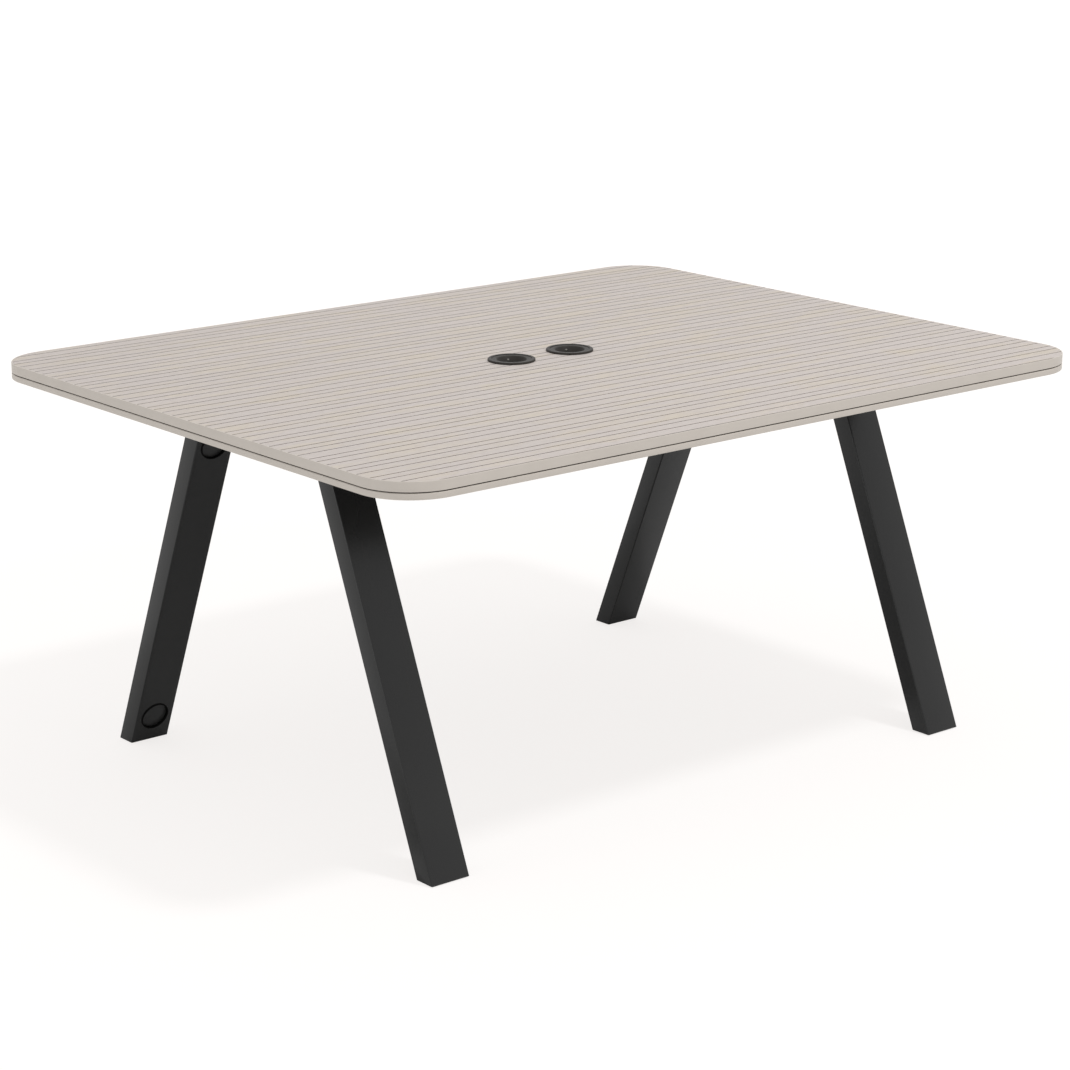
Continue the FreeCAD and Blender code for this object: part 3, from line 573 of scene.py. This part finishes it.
def cable_outlet(name):
    """Collar in the leg's hole, and the sunken cap that closes it."""
    out_of_wall = Matrix.Translation((0, -tube_depth / 2, outlet_stations[name])) @ square_to_wall
    place = leg_frame(*feet["rear_left"]) @ out_of_wall
    collar = turned([(sleeve_bore, lip_height), (lip_radius, lip_height), (lip_radius, 0), (sleeve_radius, 0),
                     (sleeve_radius, snap_front), (snap_radius, snap_front), (sleeve_radius, snap_back),
                     (sleeve_radius, sleeve_end), (sleeve_bore, sleeve_end), (sleeve_bore, shelf_back),
                     (shelf_bore, shelf_back), (shelf_bore, shelf_front), (sleeve_bore, shelf_front)])
    round_edge(collar, lip_radius, lip_height, width=0.7)
    round_edge(collar, sleeve_bore, lip_height, width=0.4, steps=2)
    make_piece(f"outlet_collar_{name}", collar, [collar_shade_finish], "desk",
               [f"cable_collar_{name}"], place)
    cap = turned([(0, cap_front), (cap_radius, cap_front), (cap_radius, cap_back), (skirt_radius, cap_back),
                  (skirt_radius, skirt_end), (skirt_bore, skirt_end), (skirt_bore, cap_back), (0, cap_back)])
    round_edge(cap, cap_radius, cap_front, width=0.5)
    make_piece(f"outlet_cap_{name}", cap, [cap_finish], f"cap_{name}",
               [f"cable_cap_{name}"], place)


def power_port(side, side_x):
    """Flanged housing with a screw barrel, the funnelled socket face inside it, and the earth pin."""
    place = Matrix.Translation((side_x * port_x, 0, 0))
    housing = turned([(housing_bore, barrel_bottom), (barrel_radius, barrel_bottom),
                      (barrel_radius, desk_height), (flange_radius, desk_height), (flange_radius, flange_top),
                      (ledge_radius, flange_top), (ledge_radius, ledge_height),
                      (housing_bore, ledge_height)], steps=128)
    round_edge(housing, flange_radius, flange_top, width=1.6, steps=5)
    round_edge(housing, ledge_radius, flange_top, width=0.3, steps=2)
    wind_thread(housing, **barrel_thread)
    make_piece(f"port_body_{side}", housing, [port_finish], "desk",
               [f"port_housing_{side}"], place)
    face = turned([(well_radius, well_top), (well_radius, face_bottom), (face_skirt, face_bottom),
                   (face_skirt, ledge_height), (face_radius, ledge_height), (face_radius, face_top),
                   (funnel_radius, funnel_top)], steps=128)
    round_edge(face, funnel_radius, funnel_top, width=1.6, steps=6)
    round_edge(face, well_radius, well_top, width=1.2, steps=4)
    round_edge(face, face_radius, face_top, width=0.4, steps=2)
    make_piece(f"port_face_{side}", face, [port_finish], "desk",
               [f"port_socket_{side}"], place)
    pin = turned([(0, pin_head_bottom), (pin_head_radius, pin_head_bottom), (pin_head_radius, pin_head_top),
                  (pin_radius, pin_head_top), (pin_radius, pin_top), (0, pin_top)], steps=32)
    round_edge(pin, pin_radius, pin_top, width=2.3, steps=6)
    round_edge(pin, pin_head_radius, pin_head_bottom, width=0.4, steps=2)
    make_piece(f"port_pin_{side}", pin, [nickel_finish], "desk",
               [f"port_earth_pin_{side}"], place @ Matrix.Translation((0, pin_setback, 0)))


def glide(foot):
    """Round levelling pad and the threaded stem that carries it."""
    side_x, side_y = feet[foot]
    place = Matrix.Translation((side_x * leg_x, side_y * glide_y, 0))
    pad = turned([(0, 0), (pad_radius, 0), (pad_radius, pad_top), (pad_mouth, pad_top),
                  (pad_mouth, socket_roof), (socket_radius, socket_roof), (socket_radius, socket_floor),
                  (0, socket_floor)], steps=64)
    round_edge(pad, pad_radius, 0, width=1)
    round_edge(pad, pad_radius, pad_top, width=0.5, steps=2)
    make_piece(f"levelling_pad_{foot}", pad, [rubber_finish], f"glide_{foot}",
               [f"glide_pad_{foot}"], place)
    stem = turned([(0, stem_foot_bottom), (stem_foot_radius, stem_foot_bottom),
                   (stem_foot_radius, stem_foot_top), (stem_radius, stem_foot_top), (stem_radius, stem_top),
                   (0, stem_top)], steps=48)
    round_edge(stem, stem_foot_radius, stem_foot_top, width=0.3, steps=2)
    round_edge(stem, stem_radius, stem_top, width=0.5, steps=2)
    wind_thread(stem, **stem_thread)
    make_piece(f"levelling_stem_{foot}", stem, [zinc_finish], f"stem_{foot}",
               [f"glide_stem_{foot}"], place)


planked_top()
edge_band("upper", groove_roof, desk_height, {desk_height: arris})
edge_band("lower", underside, groove_floor, {underside: arris, groove_floor: groove_arris})
for foot in feet:
    leg_tube(foot)
    weld_bead(foot)
    glide(foot)
    eased_copy(f"leg_head_plate_{foot}", steel_finish, width=0.8)
    eased_copy(f"rail_plate_{foot}", steel_finish, width=0.6)
    eased_copy(f"foot_insert_{foot}", cap_finish, width=0.4)
for name in outlet_stations:
    cable_outlet(name)
for side, side_x in {"left": -1, "right": 1}.items():
    power_port(side, side_x)
    eased_copy(f"end_beam_{side}", steel_finish, width=0.4)
    eased_copy(f"port_contact_base_{side}", port_finish, width=0.4)
    eased_copy(f"port_ring_nut_{side}", port_finish, width=0.6)
    eased_copy(f"port_rear_cover_{side}", port_finish, width=0.5)
for end in ("front", "rear"):
    eased_copy(f"rail_{end}", steel_finish, width=0.4)
eased_copy("cable_tray", steel_finish, width=0.3)
eased_copy("beam_end_plugs", cap_finish, width=0.5)
for name in ("leg_bolts", "rail_bolts", "top_screws", "tray_screws"):
    eased_copy(name, zinc_finish, width=0.25)

# The CAD nodes that stay get the finish of their own material.
node_finishes = {
    "lower_board": backing_finish, "rail_weld_nuts": zinc_finish, "leg_weld_nuts": zinc_finish,
    "glide_nuts": zinc_finish, "port_pin_contacts_left": brass_finish,
    "port_pin_contacts_right": brass_finish,
}
for name, finish in node_finishes.items():
    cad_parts[name].material_slots[0].material = finish

# White studio: the floor and the surroundings look white, and the floor keeps a soft shadow. The
# floor lies a little under the pads, so that the two don't share a plane.
floor_half, floor_level = 15, -0.0003
floor_shape = bmesh.new()
bmesh.ops.create_grid(floor_shape, x_segments=1, y_segments=1, size=floor_half)
bmesh.ops.translate(floor_shape, vec=(0, 0, floor_level), verts=floor_shape.verts[:])
floor_mesh = bpy.data.meshes.new("studio_floor")
floor_shape.to_mesh(floor_mesh)
floor_shape.free()
floor_finish, tree, place = start_finish("white_studio_floor")
camera_ray = node(tree, "ShaderNodeLightPath").outputs["Is Camera Ray"]
# Far floor looks all white; near the desk a share of plain paint keeps the shadow, and reflections
# show mostly the paint.
reach = node(tree, "ShaderNodeVectorMath", {0: place}, operation="LENGTH").outputs["Value"]
near_share = node(tree, "ShaderNodeMapRange",
                  {"Value": camera_ray, "To Min": 0.1, "To Max": 0.735})
far_share = node(tree, "ShaderNodeMapRange",
                 {"Value": camera_ray, "To Min": 0.25, "To Max": 1.0})
fade = node(tree, "ShaderNodeMapRange",
            {"Value": reach, "From Min": 1.6, "From Max": 2.6, "To Min": near_share, "To Max": far_share})
white = node(tree, "ShaderNodeMath", {0: seen_white(tree), 1: fade}, operation="MULTIPLY")
paint = node(tree, "ShaderNodeBsdfDiffuse", {"Color": linear("#fbfbfb")})
glow = node(tree, "ShaderNodeEmission", {"Color": linear("#fffcfa"), "Strength": 1.1})
lit = node(tree, "ShaderNodeMixShader", {0: white, 1: paint, 2: glow})
under = node(tree, "ShaderNodeNewGeometry").outputs["Backfacing"]
clear = node(tree, "ShaderNodeBsdfTransparent")
both = node(tree, "ShaderNodeMixShader", {0: under, 1: lit, 2: clear})
node(tree, "ShaderNodeOutputMaterial", {"Surface": both})
floor_mesh.materials.append(floor_finish)
floor = bpy.data.objects.new("studio_floor", floor_mesh)
bpy.context.scene.collection.objects.link(floor)

studio = bpy.data.worlds.new("white_studio")
studio.use_nodes = True
tree = studio.node_tree
tree.nodes.clear()
level = node(tree, "ShaderNodeMapRange", {"Value": seen_white(tree), "To Min": 0.64, "To Max": 1.0})
sky = node(tree, "ShaderNodeBackground", {"Color": (1, 1, 1, 1), "Strength": level})
node(tree, "ShaderNodeOutputWorld", {"Surface": sky})
bpy.context.scene.world = studio


def soft_lamp(name, size, power, place):
    """A round soft lamp aimed at the middle of the desk."""
    lamp = bpy.data.lights.new(name, "AREA")
    lamp.shape = "DISK"
    lamp.size = size
    lamp.energy = power
    stand = bpy.data.objects.new(name, lamp)
    stand.location = place
    desk_middle = Vector((0, 0, 0.7))
    stand.rotation_euler = (desk_middle - stand.location).to_track_quat("-Z", "Y").to_euler()
    bpy.context.scene.collection.objects.link(stand)


soft_lamp("soft_key", size=1.0, power=226, place=(1.3, -3.3, 7.35))
soft_lamp("left_fill", size=2.5, power=30, place=(-6.0, 0.5, 0.9))

# The photograph's view: from the front left and above, with a long lens.
look_down, look_right = 15.35, 39.562
camera = bpy.data.cameras.new("photo_view")
camera.sensor_width = 36
camera.lens = 98.19
camera_stand = bpy.data.objects.new("photo_view", camera)
camera_stand.location = (-3.3902, -4.0867, 1.8517)
camera_stand.rotation_euler = (radians(90 - look_down), 0, radians(-look_right))
bpy.context.scene.collection.objects.link(camera_stand)
bpy.context.scene.camera = camera_stand

bpy.context.scene.view_settings.view_transform = "Standard"

bpy.context.view_layer.update()
